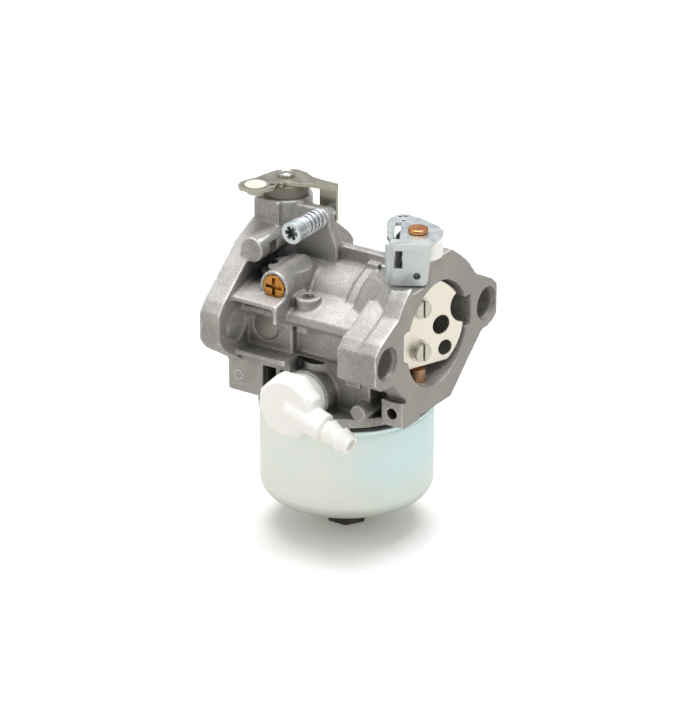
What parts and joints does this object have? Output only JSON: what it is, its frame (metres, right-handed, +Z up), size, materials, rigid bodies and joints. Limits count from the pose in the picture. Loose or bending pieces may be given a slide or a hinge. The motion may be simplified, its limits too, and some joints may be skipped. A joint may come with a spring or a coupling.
{
  "type": "carburetor",
  "caption": "Float-bowl carburetor for a small engine: die-cast body with throttle and choke shafts, levers, fuel elbow and steel bowl.",
  "frame": {"origin": "centre of the throttle bore on the engine flange face", "axes": "+X along the bore towards the air flange, +Z up, the two mounting bolts at +Y and -Y"},
  "size_m": [0.0632, 0.072, 0.1075],
  "materials": {
    "die_cast": "as-cast, slightly rough, machined flange faces",
    "shaft_steel": "ground steel",
    "brass": "machined",
    "screw_steel": "nickel-plated",
    "seal": "grey-green moulded seal",
    "lever_steel": "nickel-plated pressed sheet",
    "pad": "pale moulded plastic",
    "zinc": "bright zinc plate",
    "spring_steel": "bright wire",
    "black_wire": "blackened wire",
    "rubber": "moulded",
    "plug": "pressed in",
    "copper_shaft": "copper-washed steel",
    "choke_plate": "warm nickel plate",
    "nylon": "white moulded nylon",
    "copper": "copper-plated rivet",
    "float_plastic": "closed-cell moulding",
    "bowl_zinc": "bright zinc plate with a faint blue and straw sheen",
    "dark_steel": "dark plated",
    "fibre": "pressed fibre"
  },
  "bodies": {
    "carburetor": {"body_casting": "die_cast", "throttle_dust_seal": "seal", "idle_speed_spring": "spring_steel", "mixture_screw_spring": "spring_steel", "mixture_screw_o_ring": "rubber", "welch_plugs": "plug", "passage_plugs": "plug", "choke_spring_housing": "nylon", "choke_spring": "black_wire", "fuel_elbow": "nylon", "fuel_elbow_o_ring": "rubber", "inlet_seat": "brass", "float_hinge_pin": "shaft_steel", "main_nozzle": "brass", "main_jet": "brass", "bowl_gasket": "rubber", "float_bowl": "bowl_zinc", "bowl_bolt": "dark_steel", "bowl_bolt_washer": "fibre"},
    "throttle": {"throttle_shaft": "shaft_steel", "throttle_plate": "brass", "throttle_plate_screws": "screw_steel", "throttle_lever": "lever_steel", "throttle_lever_pad": "pad", "throttle_lever_screw": "screw_steel"},
    "choke": {"choke_shaft": "copper_shaft", "choke_plate": "choke_plate", "choke_plate_screws": "screw_steel", "choke_lock_washers": "screw_steel", "choke_lever": "zinc", "choke_rivet": "copper"},
    "idle_washer": {"idle_screw_washer": "zinc"},
    "idle_screw": {"idle_speed_screw": "zinc"},
    "mixture": {"mixture_screw": "brass"},
    "float": {"float": "float_plastic"},
    "needle": {"inlet_needle": "brass", "needle_clip": "spring_steel"}
  },
  "joints": [
    {"name": "throttle_turn", "type": "hinge", "parent": "carburetor", "child": "throttle", "pos_m": [0.0065, 0, 0.033], "axis": [0, 0, 1], "range_deg": [0, 75]},
    {"name": "choke_turn", "type": "hinge", "parent": "carburetor", "child": "choke", "pos_m": [0.053, 0, 0.024], "axis": [0, 0, 1], "range_deg": [-60, 22], "stiffness_Nm_per_rad": 0.004},
    {"name": "idle_screw_advance", "type": "slide", "parent": "carburetor", "child": "idle_washer", "axis": [0, -1, 0], "range_m": [0, 0.00105]},
    {"name": "idle_screw_turn", "type": "hinge", "parent": "idle_washer", "child": "idle_screw", "pos_m": [0.0212, -0.015, 0.0296], "axis": [0, -1, 0], "range_deg": [0, 540]},
    {"name": "mixture_screw_turn", "type": "hinge", "parent": "carburetor", "child": "mixture", "pos_m": [0.0183, -0.024, 0.0136], "axis": [0, -1, 0], "range_deg": [-90, 90]},
    {"name": "float_pivot", "type": "hinge", "parent": "carburetor", "child": "float", "pos_m": [0.0281, -0.0206, -0.032], "axis": [1, 0, 0], "range_deg": [0, 8]},
    {"name": "needle_lift", "type": "slide", "parent": "carburetor", "child": "needle", "axis": [0, 0, 1], "range_m": [0, 0.0007]}
  ],
  "couplings": [
    {"joint": "idle_screw_turn", "follows": "idle_screw_advance", "rad_per_m": 8976},
    {"joint": "needle_lift", "follows": "float_pivot", "m_per_rad": 0.005}
  ]
}
